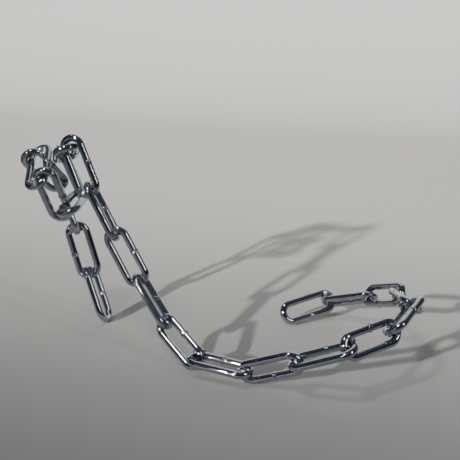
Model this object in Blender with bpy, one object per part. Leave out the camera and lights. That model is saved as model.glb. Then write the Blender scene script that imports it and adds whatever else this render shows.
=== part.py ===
"""A length of chromed steel chain whose links are welded together in mid-air.

The foot link stands on the ground. The riser goes up to the neck loop, one full turn
that takes the neck of a bottle, and from there the slope comes down to the base, which
curls over the ground to its free end. Metres, Z up, X along the longest side.
"""
import math

import bpy
import numpy as np
from mathutils import Vector

# Driving dimensions: one long link of round wire, as used for the whole chain.
WIRE_DIAMETER = 0.008
INNER_LENGTH = 0.0553
OUTER_WIDTH = 0.0293
CLEARANCE = 0.0003
STEPS_PER_END = 12

# What follows from them.
WIRE_RADIUS = WIRE_DIAMETER / 2
END_RADIUS = (OUTER_WIDTH - WIRE_DIAMETER) / 2
STRAIGHT_LENGTH = INNER_LENGTH + WIRE_DIAMETER - 2 * END_RADIUS

# How each link was held when it was welded on, in whole degrees: the heading it runs in
# seen from above, its climb, and its roll about its own length (0 is lying flat).
RISER = [
    ("riser_link_1", 144, 58, 32),
    ("riser_link_2", 174, 73, -62),
    ("riser_link_3", 158, 62, -130),
    ("riser_link_4", -117, 47, 47),
]
NECK_LOOP = [
    ("neck_loop_link_1", -72, -28, 27),
    ("neck_loop_link_2", 66, -66, 154),
    ("neck_loop_link_3", 97, 9, 161),
    ("neck_loop_link_4", -125, 67, 146),
    ("neck_loop_link_5", -64, 21, 13),
]
SLOPE = [
    ("slope_link_1", -21, -63, 73),
    ("slope_link_2", -17, -57, -22),
    ("slope_link_3", -9, -59, 80),
    ("slope_link_4", -28, -45, -25),
    ("slope_link_5", -33, -27, 72),
]
BASE = [
    ("base_link_1", -11, -2, 1),
    ("base_link_2", -9, 23, 107),
    ("base_link_3", -6, 24, 7),
    ("base_link_4", 43, 6, 64),
    ("base_link_5", 70, 10, -38),
    ("base_link_6", 104, -12, 35),
    ("base_link_7", 129, -21, -56),
    ("base_link_8", 159, -20, 31),
    ("base_link_9", -147, -11, -66),
]

# The loop's tight turns were welded with the wires slid round the ends. For the link named,
# these are the touching places in degrees from the tip: on the far end of the link before
# it, and on its own near end. Past 90 a place is on the straight side. The other links
# touch where a straight pull would bring them.
SLID = {
    "riser_link_3": (4, 4),
    "riser_link_4": (-20, -6),
    "neck_loop_link_1": (-66, 112),
    "neck_loop_link_2": (72, 53),
    "neck_loop_link_3": (92, 109),
    "neck_loop_link_4": (-13, -21),
    "neck_loop_link_5": (93, -7),
    "slope_link_1": (-93, 84),
    "slope_link_2": (24, 78),
}


class Link:
    """One link: its middle, the direction it runs in, and the direction its width lies in."""

    def __init__(self, name, heading, climb, roll):
        self.name = name
        heading, climb, roll = (math.radians(a) for a in (heading, climb, roll))
        self.along = Vector((
            math.cos(climb) * math.cos(heading),
            math.cos(climb) * math.sin(heading),
            math.sin(climb),
        ))
        level = Vector((-math.sin(heading), math.cos(heading), 0.0))
        self.across = math.cos(roll) * level + math.sin(roll) * self.along.cross(level)
        self.middle = Vector((0.0, 0.0, 0.0))

    def angle_to(self, direction):
        """The angle from the link's length, in its own plane, to a direction."""
        return math.atan2(direction.dot(self.across), direction.dot(self.along))

    def spoke(self, angle):
        """The unit vector at an angle from the link's length, and the wire's run there."""
        return (
            self.along * math.cos(angle) + self.across * math.sin(angle),
            self.across * math.cos(angle) - self.along * math.sin(angle),
        )

    def reach(self, angle):
        """How far a place on the wire is from the centre of its end, and the wire's run there.

        The place is an angle round the end from its tip. Past a quarter turn it lies on the
        straight side, as far along it as the angle would have gone round the bend.
        """
        turn = max(-math.pi / 2, min(math.pi / 2, angle))
        spoke, run = self.spoke(turn)
        return (spoke - self.along * abs(angle - turn)) * END_RADIUS, run

    def centreline(self):
        """Points round the middle of the wire, without the repeated first point."""
        points = []
        for end, first_angle in ((1, -90), (-1, 90)):
            centre = self.middle + self.along * (end * STRAIGHT_LENGTH / 2)
            for step in range(STEPS_PER_END + 1):
                spoke, _ = self.spoke(math.radians(first_angle + 180 * step / STEPS_PER_END))
                points.append(centre + spoke * END_RADIUS)
        return points

    def dense_centreline(self):
        """The same line as an array of points a tenth of the wire's diameter apart."""
        corners = self.centreline()
        points = []
        for corner, next_corner in zip(corners, corners[1:] + corners[:1]):
            steps = math.ceil((next_corner - corner).length / (WIRE_DIAMETER / 10))
            points += [corner.lerp(next_corner, step / steps) for step in range(steps)]
        return np.array(points)


def distance(link, other):
    """How near the middles of two links' wires come to each other."""
    between = link.dense_centreline()[:, None] - other.dense_centreline()[None]
    return float(np.linalg.norm(between, axis=2).min())


def hook(before, link):
    """Moves a link so that its wire just meets the wire of the link before it.

    The wires cross at the touching places, side by side. Where the ends bend towards each
    other the link is then backed off until no part of it is nearer than the clearance.
    """
    pull = (before.along + link.along).normalized()
    angles = before.angle_to(pull), link.angle_to(pull)
    if link.name in SLID:
        angles = [math.radians(angle) for angle in SLID[link.name]]
    far_reach, far_run = before.reach(angles[0])
    near_reach, near_run = link.reach(angles[1])
    apart = far_run.cross(near_run).normalized()
    if apart.dot(far_reach + near_reach) > 0:
        apart = -apart
    far_wire = before.middle + before.along * (STRAIGHT_LENGTH / 2) + far_reach
    near_wire = far_wire + apart * (WIRE_DIAMETER + CLEARANCE)
    link.middle = near_wire + near_reach + link.along * (STRAIGHT_LENGTH / 2)
    for _ in range(8):
        missing = WIRE_DIAMETER + CLEARANCE - distance(before, link)
        link.middle += apart * max(0.0, missing)


def stand_on_ground(links):
    """Puts the middle of the chain's footprint over the origin and its lowest wire at Z = 0."""
    points = [point for link in links for point in link.centreline()]
    lowest = [min(point[axis] for point in points) for axis in range(3)]
    highest = [max(point[axis] for point in points) for axis in range(3)]
    shift = Vector((
        -(lowest[0] + highest[0]) / 2,
        -(lowest[1] + highest[1]) / 2,
        WIRE_RADIUS - lowest[2],
    ))
    for link in links:
        link.middle += shift


def chrome(name):
    """Polished chrome plate over steel."""
    material = bpy.data.materials.new(name)
    material.use_nodes = True
    shader = material.node_tree.nodes["Principled BSDF"]
    shader.inputs["Base Color"].default_value = (0.60, 0.61, 0.63, 1.0)
    shader.inputs["Metallic"].default_value = 1.0
    shader.inputs["Roughness"].default_value = 0.12
    return material


def wire_ring(link, collection):
    """A closed ring of round wire along the link's centreline."""
    curve = bpy.data.curves.new(link.name, "CURVE")
    curve.dimensions = "3D"
    curve.bevel_depth = WIRE_RADIUS
    curve.bevel_resolution = 4
    points = link.centreline()
    spline = curve.splines.new("POLY")
    spline.points.add(len(points) - 1)
    for spline_point, point in zip(spline.points, points):
        spline_point.co = (*point, 1.0)
    spline.use_cyclic_u = True
    ring = bpy.data.objects.new(link.name, curve)
    ring.data.materials.append(chrome(link.name + "_chrome"))
    collection.objects.link(ring)


for leftover in list(bpy.context.scene.objects):
    bpy.data.objects.remove(leftover, do_unlink=True)

chain = [Link(*held) for held in RISER + NECK_LOOP + SLOPE + BASE]
for before, link in zip(chain, chain[1:]):
    hook(before, link)
stand_on_ground(chain)

welded_chain = bpy.data.collections.new("welded_chain_bottle_holder")
bpy.context.scene.collection.children.link(welded_chain)
for link in chain:
    wire_ring(link, welded_chain)
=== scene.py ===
"""A bottle holder made of a length of chromed steel chain, its links welded in mid-air.

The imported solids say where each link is. This script gives the links their round wire and
their butt welds, the joints their beads of weld metal, and all of it its bright plating.
"""

import math

import bpy
import numpy as np
from mathutils import Euler, Matrix, Vector


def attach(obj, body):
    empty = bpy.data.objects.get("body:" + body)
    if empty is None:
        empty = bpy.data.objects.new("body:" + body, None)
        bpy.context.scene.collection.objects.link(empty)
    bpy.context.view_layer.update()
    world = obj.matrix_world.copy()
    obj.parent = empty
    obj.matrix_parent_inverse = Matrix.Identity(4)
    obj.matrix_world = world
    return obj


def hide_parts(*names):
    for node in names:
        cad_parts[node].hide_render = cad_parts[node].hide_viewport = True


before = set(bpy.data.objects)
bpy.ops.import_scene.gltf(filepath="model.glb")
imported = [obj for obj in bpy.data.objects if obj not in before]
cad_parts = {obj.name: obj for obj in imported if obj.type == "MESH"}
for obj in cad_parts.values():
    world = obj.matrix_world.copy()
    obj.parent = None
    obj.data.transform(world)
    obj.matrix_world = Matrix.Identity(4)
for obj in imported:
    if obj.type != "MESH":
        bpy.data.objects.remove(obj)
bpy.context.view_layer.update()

# The links. Each is a length of 8 mm mild-steel wire bent into a long ring. Its two ends are
# butt-welded halfway along one side, which leaves a low ground collar with a fine groove. The
# finished chain is polished and plated as a whole.
LINKS_IN_PART = {"riser": 4, "neck_loop": 5, "slope": 5, "base": 9}
WIRE = 0.008
WIRE_SIDES = 28
STEPS_ROUND_LINK = 300
STEPS_PER_CORNER = 24
COLLAR_HEIGHT = 0.0009
COLLAR_LENGTH = 0.0046
COLLAR_LUMPS_PER_METRE = 520.0
COLLAR_LOWEST_SHARE = 0.2
COLLAR_SWING = 1.6
GROOVE_DEPTH = 0.0011
GROOVE_LENGTH = 0.0014
SEAM_WANDER = 0.003
SEAM_SEED = 7
# Links whose butt weld is on the side with the smaller X; it is on the other side elsewhere.
SEAM_ON_LEFT = ("riser_link_2", "neck_loop_link_4", "slope_link_2", "base_link_4", "base_link_7")

# The plating is nickel and then chromium over polished steel: a cold, nearly neutral mirror that
# handling has dulled in soft patches, over a surface that polishing left a little wavy. The pits
# are coarser than in real plating, so that they show.
CHROME_COLOUR = "A9ACB3"
HAZE_COLOUR = "90939C"
HAZE_PATCH = 0.014
HAZE_RANGE = (0.42, 0.75)
MIRROR_TO_DULL = (0.025, 0.08)
POLISH_WAVE = 0.009
POLISH_WAVE_DEPTH = 0.00014
FINE_PIT = 0.0014
FINE_PIT_DEPTH = 0.00001


def linear(hex_colour):
    """An sRGB hex colour as linear RGBA."""
    channels = [int(hex_colour[i:i + 2], 16) / 255 for i in (0, 2, 4)]
    return tuple(
        c / 12.92 if c <= 0.04045 else ((c + 0.055) / 1.055) ** 2.4 for c in channels
    ) + (1.0,)


def add(tree, kind, sockets=None, **settings):
    """Adds a node. Each socket, by name or number, gets a value or a link.

    A link comes from a socket, or from a node, which stands for its first enabled output.
    """
    node = tree.nodes.new(kind)
    for setting, value in settings.items():
        setattr(node, setting, value)
    for socket, value in (sockets or {}).items():
        if isinstance(value, bpy.types.Node):
            value = next(output for output in value.outputs if output.enabled)
        if isinstance(value, bpy.types.NodeSocket):
            tree.links.new(value, node.inputs[socket])
        else:
            node.inputs[socket].default_value = value
    return node


def plated(name, colours, haze_range, roughness_range, wave, wave_depth, pit_depth):
    """Chromium plate: patches of haze, on a surface that is wavy and, at a finer size, pitted."""
    material = bpy.data.materials.new(name)
    material.use_nodes = True
    tree = material.node_tree
    shader = tree.nodes["Principled BSDF"]
    shader.inputs["Metallic"].default_value = 1.0
    place = add(tree, "ShaderNodeTexCoord").outputs["Object"]
    haze = add(tree, "ShaderNodeTexNoise", {
        "Vector": place, "Scale": 1 / HAZE_PATCH, "Detail": 5.0, "Roughness": 0.62,
    })
    patches = add(tree, "ShaderNodeMapRange", {
        "Value": haze, "From Min": haze_range[0], "From Max": haze_range[1],
    })
    colour = add(tree, "ShaderNodeMix", {
        "Factor": patches, "A": linear(colours[0]), "B": linear(colours[1]),
    }, data_type="RGBA")
    roughness = add(tree, "ShaderNodeMapRange", {
        "Value": patches, "To Min": roughness_range[0], "To Max": roughness_range[1],
    })
    waves = add(tree, "ShaderNodeTexNoise", {"Vector": place, "Scale": 1 / wave, "Detail": 1.0})
    pits = add(tree, "ShaderNodeTexNoise", {"Vector": place, "Scale": 1 / FINE_PIT, "Detail": 3.0})
    wavy = add(tree, "ShaderNodeBump", {"Height": waves, "Distance": wave_depth})
    pitted = add(tree, "ShaderNodeBump", {"Height": pits, "Distance": pit_depth, "Normal": wavy})
    tree.links.new(colour.outputs["Result"], shader.inputs["Base Color"])
    tree.links.new(roughness.outputs["Result"], shader.inputs["Roughness"])
    tree.links.new(pitted.outputs["Normal"], shader.inputs["Normal"])
    return material


def link_axes(node):
    """A link's middle, and the directions of its length and its width."""
    points = np.array([v.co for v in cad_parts[node].data.vertices])
    points = np.unique(points.round(6), axis=0)
    middle = points.mean(axis=0)
    length, width, _ = np.linalg.svd(points - middle, full_matrices=False)[2]
    width *= 1 if width[0] > 0 else -1
    return Vector(middle), Vector(length), Vector(width)


def link_spread(node):
    """How long and how wide a link is over its wire."""
    middle, length, width = link_axes(node)
    points = [v.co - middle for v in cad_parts[node].data.vertices]
    return [max(p.dot(d) for p in points) * 2 for d in (length, width)]


def point_mesh(name, places, **attributes):
    """A mesh of loose points, each with a turn and any numbers that its tree reads."""
    mesh = bpy.data.meshes.new(name)
    mesh.from_pydata(places, [], [])
    for label, values in attributes.items():
        kind = "QUATERNION" if label == "turn" else "FLOAT"
        attribute = mesh.attributes.new(label, kind, "POINT")
        for entry, value in zip(attribute.data, values):
            entry.value = value
    return mesh


def new_tree(name, inputs):
    """A Geometry Nodes tree with geometry in and out, and one named input for each size."""
    tree = bpy.data.node_groups.new(name, "GeometryNodeTree")
    tree.interface.new_socket("Geometry", in_out="INPUT", socket_type="NodeSocketGeometry")
    for label, kind in inputs.items():
        tree.interface.new_socket(label, in_out="INPUT", socket_type="NodeSocket" + kind)
    tree.interface.new_socket("Geometry", in_out="OUTPUT", socket_type="NodeSocketGeometry")
    return tree


def grow(name, points, tree, values):
    """Runs a tree on a mesh of points, and returns the result as a plain mesh object."""
    source = bpy.data.objects.new(name + "_points", points)
    bpy.context.scene.collection.objects.link(source)
    modifier = source.modifiers.new("grow", "NODES")
    modifier.node_group = tree
    for item in tree.interface.items_tree:
        if item.in_out == "INPUT" and item.name in values:
            modifier[item.identifier] = values[item.name]
    evaluated = source.evaluated_get(bpy.context.evaluated_depsgraph_get())
    mesh = bpy.data.meshes.new_from_object(evaluated)
    bpy.data.objects.remove(source)
    mesh.name = name
    piece = bpy.data.objects.new(name, mesh)
    bpy.context.scene.collection.objects.link(piece)
    return piece


def link_tree():
    """Rings of wire on points, each with its butt weld at seam_place on its seam_side."""
    tree = new_tree("welded_wire_links", {
        "Length": "Float", "Width": "Float", "Wire": "Float", "Collar Height": "Float",
        "Collar Length": "Float", "Groove Depth": "Float", "Groove Length": "Float",
        "Finish": "Material",
    })
    given = add(tree, "NodeGroupInput").outputs
    turn, seam_place, seam_side = (
        add(tree, "GeometryNodeInputNamedAttribute", {"Name": label}, data_type=kind)
        for label, kind in (("turn", "QUATERNION"), ("seam_place", "FLOAT"), ("seam_side", "FLOAT"))
    )
    middle_length, middle_width = (
        add(tree, "ShaderNodeMath", {0: given[over_wire], 1: given["Wire"]}, operation="SUBTRACT")
        for over_wire in ("Length", "Width")
    )
    wire_radius, bend_radius, half_collar, half_groove = (
        add(tree, "ShaderNodeMath", {0: whole, 1: 2.0}, operation="DIVIDE")
        for whole in (given["Wire"], middle_width, given["Collar Length"], given["Groove Length"])
    )
    oblong = add(tree, "GeometryNodeCurvePrimitiveQuadrilateral", {
        "Width": middle_length, "Height": middle_width,
    }, mode="RECTANGLE")
    rounded = add(tree, "GeometryNodeFilletCurve", {
        "Curve": oblong, "Count": STEPS_PER_CORNER, "Radius": bend_radius, "Limit Radius": True,
    }, mode="POLY")
    even = add(tree, "GeometryNodeResampleCurve", {
        "Curve": rounded, "Count": STEPS_ROUND_LINK,
    }, mode="COUNT")
    wire_section = add(tree, "GeometryNodeCurvePrimitiveCircle", {
        "Resolution": WIRE_SIDES, "Radius": wire_radius,
    }, mode="RADIUS")
    ring = add(tree, "GeometryNodeCurveToMesh", {"Curve": even, "Profile Curve": wire_section})
    marked = add(tree, "GeometryNodeStoreNamedAttribute", {
        "Geometry": ring, "Name": "in_link", "Value": add(tree, "GeometryNodeInputPosition"),
    }, data_type="FLOAT_VECTOR", domain="POINT")
    placed = add(tree, "GeometryNodeInstanceOnPoints", {
        "Points": given["Geometry"], "Instance": marked, "Rotation": turn,
    })
    links = add(tree, "GeometryNodeRealizeInstances", {"Geometry": placed})

    in_link = add(tree, "GeometryNodeInputNamedAttribute", {
        "Name": "in_link",
    }, data_type="FLOAT_VECTOR")
    in_link = add(tree, "ShaderNodeSeparateXYZ", {"Vector": in_link}).outputs
    past_seam = add(tree, "ShaderNodeMath", {0: in_link["X"], 1: seam_place}, operation="SUBTRACT")
    from_seam = add(tree, "ShaderNodeMath", {0: past_seam}, operation="ABSOLUTE")
    sided = add(tree, "ShaderNodeMath", {0: in_link["Y"], 1: seam_side}, operation="MULTIPLY")
    on_seam_side = add(tree, "ShaderNodeMath", {0: sided, 1: 0.0}, operation="GREATER_THAN")
    collar = add(tree, "ShaderNodeMapRange", {
        "Value": from_seam, "From Min": half_collar, "From Max": 0.0,
    }, interpolation_type="SMOOTHERSTEP")
    groove = add(tree, "ShaderNodeMapRange", {
        "Value": from_seam, "From Min": half_groove, "From Max": 0.0,
    }, interpolation_type="SMOOTHSTEP")
    lumps = add(tree, "ShaderNodeTexNoise", {"Scale": COLLAR_LUMPS_PER_METRE, "Detail": 2.0})
    uneven = add(tree, "ShaderNodeMath", {
        0: lumps, 1: COLLAR_SWING, 2: COLLAR_LOWEST_SHARE,
    }, operation="MULTIPLY_ADD")
    even_collar = add(tree, "ShaderNodeMath", {
        0: collar, 1: given["Collar Height"],
    }, operation="MULTIPLY")
    raised = add(tree, "ShaderNodeMath", {0: even_collar, 1: uneven}, operation="MULTIPLY")
    sunk = add(tree, "ShaderNodeMath", {
        0: groove, 1: given["Groove Depth"],
    }, operation="MULTIPLY")
    weld = add(tree, "ShaderNodeMath", {0: raised, 1: sunk}, operation="SUBTRACT")
    height = add(tree, "ShaderNodeMath", {0: on_seam_side, 1: weld}, operation="MULTIPLY")
    offset = add(tree, "ShaderNodeVectorMath", {
        0: add(tree, "GeometryNodeInputNormal"), "Scale": height,
    }, operation="SCALE")
    welded = add(tree, "GeometryNodeSetPosition", {"Geometry": links, "Offset": offset})
    smooth = add(tree, "GeometryNodeSetShadeSmooth", {"Geometry": welded})
    finished = add(tree, "GeometryNodeSetMaterial", {
        "Geometry": smooth, "Material": given["Finish"],
    })
    add(tree, "NodeGroupOutput", {"Geometry": finished})
    return tree


wire_chrome = plated(
    "chromium_plated_wire", (CHROME_COLOUR, HAZE_COLOUR), HAZE_RANGE, MIRROR_TO_DULL,
    POLISH_WAVE, POLISH_WAVE_DEPTH, FINE_PIT_DEPTH
)
links_on_points = link_tree()
random_seam = np.random.default_rng(SEAM_SEED)
chain = []
link_pieces = []
for part, count in LINKS_IN_PART.items():
    nodes = [f"{part}_link_{number}" for number in range(1, count + 1)]
    chain += nodes
    places, turns, sides, seams = [], [], [], []
    for node in nodes:
        middle, length, width = link_axes(node)
        places.append(middle)
        turns.append(Matrix((length, width, length.cross(width))).transposed().to_quaternion())
        sides.append(-1.0 if node in SEAM_ON_LEFT else 1.0)
        seams.append(random_seam.uniform(-SEAM_WANDER, SEAM_WANDER))
    link_length, link_width = np.max([link_spread(node) for node in nodes], axis=0)
    points = point_mesh(
        part + "_links", places, turn=turns, seam_side=sides, seam_place=seams
    )
    links = grow(part + "_links", points, links_on_points, {
        "Length": float(link_length), "Width": float(link_width), "Wire": WIRE,
        "Collar Height": COLLAR_HEIGHT, "Collar Length": COLLAR_LENGTH,
        "Groove Depth": GROOVE_DEPTH, "Groove Length": GROOVE_LENGTH, "Finish": wire_chrome,
    })
    link_pieces.append(links)
    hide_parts(*nodes)
    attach(links, "root")

# The joint welds. Where two links touch, weld metal is run into the four corners between
# their crossing wires: lumpy beads of overlapping drops, left as they cooled and then plated
# with the rest, so they are duller than the wire and rippled.
DROPS_PER_JOINT = 56
DROP_RADIUS = (0.0011, 0.0020)
BEAD_CORNER = (0.0019, 0.0048)
BEAD_DEPTH = 0.0035
BEAD_VOXEL = 0.00028
BEAD_SKIN = 0.1
BEAD_SMOOTHING = 2
WELD_COLOUR = "9DA1A9"
WELD_HAZE_COLOUR = "6C717B"
WELD_HAZE_RANGE = (0.35, 0.65)
WELD_ROUGHNESS = (0.08, 0.28)
WELD_RIPPLE = 0.0016
WELD_RIPPLE_DEPTH = 0.0008
WELD_PIT_DEPTH = 0.00003


def wire_line(node, steps=240):
    """Points along the middle of a link's wire."""
    middle, length, width = link_axes(node)
    outer_length, outer_width = link_spread(node)
    bend = (outer_width - WIRE) / 2
    straight = (outer_length - WIRE) / 2 - bend
    angles = np.linspace(0, 2 * np.pi, steps, endpoint=False)
    along = bend * np.cos(angles) + straight * np.sign(np.cos(angles))
    across = bend * np.sin(angles)
    return np.array(middle) + np.outer(along, length) + np.outer(across, width)


def crossing(node, next_node):
    """Where two links' wires come nearest: the place, and a turn with Z from one to the other."""
    line, next_line = wire_line(node), wire_line(next_node)
    gaps = np.linalg.norm(line[:, None] - next_line[None], axis=2)
    i, j = np.unravel_index(gaps.argmin(), gaps.shape)
    towards = Vector(next_line[j] - line[i]).normalized()
    run = Vector(line[(i + 1) % len(line)] - line[i - 1])
    side = (run - towards * run.dot(towards)).normalized()
    turn = Matrix((side, towards.cross(side), towards)).transposed().to_quaternion()
    return Vector((line[i] + next_line[j]) / 2), turn


def bead_tree():
    """Drops in the four corners round each point, run together into lumpy beads."""
    tree = new_tree("weld_beads", {
        "Drops": "Int", "Smallest Drop": "Float", "Largest Drop": "Float",
        "Corner Start": "Float", "Corner End": "Float", "Depth": "Float",
        "Voxel": "Float", "Finish": "Material",
    })
    given = add(tree, "NodeGroupInput").outputs
    drops = add(tree, "GeometryNodeDuplicateElements", {
        "Geometry": given["Geometry"], "Amount": given["Drops"],
    }, domain="POINT")
    nearest = add(tree, "ShaderNodeCombineXYZ", {
        "X": given["Corner Start"], "Y": given["Corner Start"], "Z": 0.0,
    })
    farthest = add(tree, "ShaderNodeCombineXYZ", {
        "X": given["Corner End"], "Y": given["Corner End"], "Z": given["Depth"],
    })
    reach = add(tree, "FunctionNodeRandomValue", {
        "Min": nearest, "Max": farthest, "Seed": 3,
    }, data_type="FLOAT_VECTOR")
    either_way = add(tree, "FunctionNodeRandomValue", {
        "Min": (-1.0, -1.0, -1.0), "Max": (1.0, 1.0, 1.0), "Seed": 11,
    }, data_type="FLOAT_VECTOR")
    side = add(tree, "ShaderNodeVectorMath", {0: either_way}, operation="SIGN")
    in_corner = add(tree, "ShaderNodeVectorMath", {0: side, 1: reach}, operation="MULTIPLY")
    turn = add(tree, "GeometryNodeInputNamedAttribute", {"Name": "turn"}, data_type="QUATERNION")
    turned = add(tree, "FunctionNodeRotateVector", {"Vector": in_corner, "Rotation": turn})
    spread = add(tree, "GeometryNodeSetPosition", {"Geometry": drops, "Offset": turned})
    cloud = add(tree, "GeometryNodeMeshToPoints", {"Mesh": spread})
    size = add(tree, "FunctionNodeRandomValue", {
        "Min": given["Smallest Drop"], "Max": given["Largest Drop"], "Seed": 5,
    }, data_type="FLOAT")
    mass = add(tree, "GeometryNodePointsToVolume", {
        "Points": cloud, "Density": 1.0, "Voxel Size": given["Voxel"], "Radius": size,
    }, resolution_mode="VOXEL_SIZE")
    skin = add(tree, "GeometryNodeVolumeToMesh", {
        "Volume": mass, "Threshold": BEAD_SKIN,
    }, resolution_mode="GRID")
    even = add(tree, "GeometryNodeBlurAttribute", {
        "Value": add(tree, "GeometryNodeInputPosition"), "Iterations": BEAD_SMOOTHING,
    }, data_type="FLOAT_VECTOR")
    rounded = add(tree, "GeometryNodeSetPosition", {"Geometry": skin, "Position": even})
    smooth = add(tree, "GeometryNodeSetShadeSmooth", {"Geometry": rounded})
    finished = add(tree, "GeometryNodeSetMaterial", {
        "Geometry": smooth, "Material": given["Finish"],
    })
    add(tree, "NodeGroupOutput", {"Geometry": finished})
    return tree


weld_chrome = plated(
    "chromium_plated_weld", (WELD_COLOUR, WELD_HAZE_COLOUR), WELD_HAZE_RANGE, WELD_ROUGHNESS,
    WELD_RIPPLE, WELD_RIPPLE_DEPTH, WELD_PIT_DEPTH
)
joints = [crossing(node, next_node) for node, next_node in zip(chain, chain[1:])]
joint_points = point_mesh(
    "joint_welds", [place for place, _ in joints], turn=[turn for _, turn in joints]
)
beads = grow("joint_welds", joint_points, bead_tree(), {
    "Drops": DROPS_PER_JOINT, "Smallest Drop": DROP_RADIUS[0], "Largest Drop": DROP_RADIUS[1],
    "Corner Start": BEAD_CORNER[0], "Corner End": BEAD_CORNER[1], "Depth": BEAD_DEPTH,
    "Voxel": BEAD_VOXEL, "Finish": weld_chrome,
})
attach(beads, "root")

# The spatter. Small drops of weld metal were thrown on to the wire beside every joint, stuck
# there a little flattened and were plated over. They are thickest by the weld and thin out
# along the wire. They are drawn somewhat large, so that they show.
SPECKS_PER_SQUARE_METRE = 26000.0
SPATTER_START = 0.004
SPATTER_REACH = 0.033
SPECK_RADIUS = 0.0008
SPECK_SCALE = (0.40, 1.0)
SPECK_FLATNESS = 0.7


def spatter_tree(link_pieces):
    """Flattened specks on the wires, near the joints that the tree is run on."""
    tree = new_tree("weld_spatter", {
        "Density": "Float", "Start": "Float", "Reach": "Float", "Radius": "Float",
        "Smallest": "Float", "Largest": "Float", "Finish": "Material",
    })
    given = add(tree, "NodeGroupInput").outputs
    wires = tree.nodes.new("GeometryNodeJoinGeometry")
    for piece in link_pieces:
        link = add(tree, "GeometryNodeObjectInfo", {"Object": piece}, transform_space="ORIGINAL")
        tree.links.new(link.outputs["Geometry"], wires.inputs["Geometry"])
    from_joint = add(tree, "GeometryNodeProximity", {
        "Geometry": given["Geometry"],
    }, target_element="POINTS").outputs["Distance"]
    thickness = add(tree, "ShaderNodeMapRange", {
        "Value": from_joint, "From Min": given["Reach"], "From Max": given["Start"],
        "To Max": given["Density"],
    })
    thrown = add(tree, "GeometryNodeDistributePointsOnFaces", {
        "Mesh": wires, "Density": thickness, "Seed": 21,
    }, distribute_method="RANDOM")
    drop = add(tree, "GeometryNodeMeshIcoSphere", {"Radius": given["Radius"], "Subdivisions": 2})
    speck = add(tree, "GeometryNodeTransform", {
        "Geometry": drop, "Scale": (1.0, 1.0, SPECK_FLATNESS),
    })
    size = add(tree, "FunctionNodeRandomValue", {
        "Min": given["Smallest"], "Max": given["Largest"], "Seed": 8,
    }, data_type="FLOAT")
    placed = add(tree, "GeometryNodeInstanceOnPoints", {
        "Points": thrown, "Instance": speck, "Rotation": thrown.outputs["Rotation"],
        "Scale": size,
    })
    specks = add(tree, "GeometryNodeRealizeInstances", {"Geometry": placed})
    smooth = add(tree, "GeometryNodeSetShadeSmooth", {"Geometry": specks})
    finished = add(tree, "GeometryNodeSetMaterial", {
        "Geometry": smooth, "Material": given["Finish"],
    })
    add(tree, "NodeGroupOutput", {"Geometry": finished})
    return tree


spatter_points = point_mesh("joint_places", [place for place, _ in joints])
spatter = grow("weld_spatter", spatter_points, spatter_tree(link_pieces), {
    "Density": SPECKS_PER_SQUARE_METRE, "Start": SPATTER_START, "Reach": SPATTER_REACH,
    "Radius": SPECK_RADIUS, "Smallest": SPECK_SCALE[0], "Largest": SPECK_SCALE[1],
    "Finish": weld_chrome,
})
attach(spatter, "root")

# The floor. The chain stands on a large matt sheet that curves up behind it into a wall. It is
# pale at the back, with painted shade graded darker towards the front and the sides that stands in
# for a dark, shaded room, so that the wires, which mirror it, stay dark between the lamps' streaks.
FLOOR_COLOUR = "D2D0CC"
PAINTED_SHADE_COLOUR = "3A3B3D"
FLOOR_ROUGHNESS = 0.85
GRADE_FRONT = -0.60
GRADE_BACK = 0.70
# The pale strip, left clear of the painted shade, runs back from the camera. Its middle line and
# half width are given in metres at Y = 0, and how much each changes in a metre further back.
PALE_MIDDLE = 0.05
PALE_TURN = -0.20
PALE_HALF_WIDTH = 0.36
PALE_SPREAD = 0.38
EDGE_SOFTNESS = 1.7
SHEET_REACH = 9.0
SHEET_BACK = 1.45
SHEET_BEND = 0.65
SHEET_HEIGHT = 5.0
STEPS_IN_BEND = 24

bend = [math.pi / 2 * step / STEPS_IN_BEND for step in range(STEPS_IN_BEND + 1)]
profile = [(-SHEET_REACH, 0.0)]
profile += [
    (SHEET_BACK + SHEET_BEND * math.sin(turn), SHEET_BEND * (1 - math.cos(turn)))
    for turn in bend
]
profile.append((SHEET_BACK + SHEET_BEND, SHEET_HEIGHT))
floor_mesh = bpy.data.meshes.new("floor")
floor_mesh.from_pydata(
    [(side * SHEET_REACH, y, z) for y, z in profile for side in (-1, 1)],
    [],
    [(2 * i, 2 * i + 1, 2 * i + 3, 2 * i + 2) for i in range(len(profile) - 1)],
)
floor_mesh.shade_smooth()
floor = bpy.data.objects.new("floor", floor_mesh)
bpy.context.scene.collection.objects.link(floor)

sheet = bpy.data.materials.new("matt_sheet_with_painted_shade")
sheet.use_nodes = True
tree = sheet.node_tree
paint = tree.nodes["Principled BSDF"]
on_floor = add(tree, "ShaderNodeSeparateXYZ", {
    "Vector": add(tree, "ShaderNodeTexCoord").outputs["Object"],
}).outputs
back = add(tree, "ShaderNodeMapRange", {
    "Value": on_floor["Y"], "From Min": GRADE_FRONT, "From Max": GRADE_BACK,
}, interpolation_type="SMOOTHSTEP")
middle_line, half_width = (
    add(tree, "ShaderNodeMath", {0: on_floor["Y"], 1: slope, 2: start}, operation="MULTIPLY_ADD")
    for slope, start in ((PALE_TURN, PALE_MIDDLE), (PALE_SPREAD, PALE_HALF_WIDTH))
)
aside = add(tree, "ShaderNodeMath", {0: on_floor["X"], 1: middle_line}, operation="SUBTRACT")
from_middle = add(tree, "ShaderNodeMath", {0: aside}, operation="ABSOLUTE")
clear_of_side_shade = add(tree, "ShaderNodeMapRange", {
    "Value": add(tree, "ShaderNodeMath", {0: from_middle, 1: half_width}, operation="DIVIDE"),
    "From Min": EDGE_SOFTNESS, "From Max": 1.0,
}, interpolation_type="SMOOTHSTEP")
# Painted shade: the sheet's colour goes from pale to dark towards the front and the sides.
tone = add(tree, "ShaderNodeMix", {
    "Factor": add(tree, "ShaderNodeMath", {0: back, 1: clear_of_side_shade}, operation="MULTIPLY"),
    "A": linear(PAINTED_SHADE_COLOUR), "B": linear(FLOOR_COLOUR),
}, data_type="RGBA")
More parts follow.
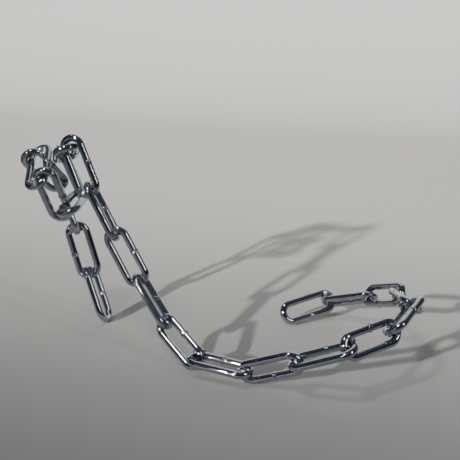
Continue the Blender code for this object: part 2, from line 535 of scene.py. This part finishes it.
tree.links.new(tone.outputs["Result"], paint.inputs["Base Color"])
paint.inputs["Roughness"].default_value = FLOOR_ROUGHNESS
floor_mesh.materials.append(sheet)

# The light. A low sun from the front left draws the long shadow, two soft lamps draw the
# streaks, and the room is a dim blue-grey that lightens towards its ceiling.
ROOM_COLOUR = "262B36"
CEILING_COLOUR = "575C66"
CEILING_START = 0.15
SUN_ROUND = 29.5
SUN_UP = 20.0
SUN_STRENGTH = 5.0
SUN_SOFTNESS = 2.0

room = bpy.data.worlds.new("studio")
room.use_nodes = True
bpy.context.scene.world = room
tree = room.node_tree
upwards = add(tree, "ShaderNodeSeparateXYZ", {
    "Vector": add(tree, "ShaderNodeTexCoord").outputs["Generated"],
}).outputs["Z"]
ceiling = add(tree, "ShaderNodeMapRange", {
    "Value": upwards, "From Min": CEILING_START,
}, interpolation_type="SMOOTHSTEP")
tone = add(tree, "ShaderNodeMix", {
    "Factor": ceiling, "A": linear(ROOM_COLOUR), "B": linear(CEILING_COLOUR),
}, data_type="RGBA")
tree.links.new(tone.outputs["Result"], tree.nodes["Background"].inputs["Color"])
tree.nodes["Background"].inputs["Strength"].default_value = 1.0

sun_light = bpy.data.lights.new("key", "SUN")
sun_light.energy = SUN_STRENGTH
sun_light.angle = math.radians(SUN_SOFTNESS)
sun = bpy.data.objects.new("key", sun_light)
sun.rotation_euler = (math.radians(90 - SUN_UP), 0, -math.radians(SUN_ROUND))
bpy.context.scene.collection.objects.link(sun)


def lamp(name, place, size, watts):
    """A rectangular lamp that faces the middle of the floor."""
    light = bpy.data.lights.new(name, "AREA")
    light.shape = "RECTANGLE"
    light.size, light.size_y = size
    light.energy = watts
    body = bpy.data.objects.new(name, light)
    body.location = place
    body.rotation_euler = (-Vector(place)).to_track_quat("-Z", "Y").to_euler()
    bpy.context.scene.collection.objects.link(body)


lamp("window", place=(-0.72, -1.07, 2.41), size=(0.26, 0.50), watts=20.0)
lamp("right_strip", place=(1.73, -0.80, 1.2), size=(0.11, 0.93), watts=9.0)

# The camera. It stands in front of the chain and a little to its right, at the height of a
# seated viewer, and looks slightly down and to the left of square.
CAMERA_PLACE = (0.1838, -0.7605, 0.3664)
CAMERA_DOWN = 16.74
CAMERA_LEFT = 12.22
CAMERA_TILT = 1.16
SENSOR = 36.0
LENS = 60.2

optics = bpy.data.cameras.new("camera")
optics.sensor_width = SENSOR
optics.lens = LENS
camera = bpy.data.objects.new("camera", optics)
camera.location = CAMERA_PLACE
camera.rotation_euler = (
    Euler((0, 0, math.radians(CAMERA_LEFT))).to_matrix()
    @ Euler((math.radians(90 - CAMERA_DOWN), 0, 0)).to_matrix()
    @ Euler((0, 0, math.radians(CAMERA_TILT))).to_matrix()
).to_euler()
bpy.context.scene.collection.objects.link(camera)
bpy.context.scene.camera = camera

bpy.context.view_layer.update()
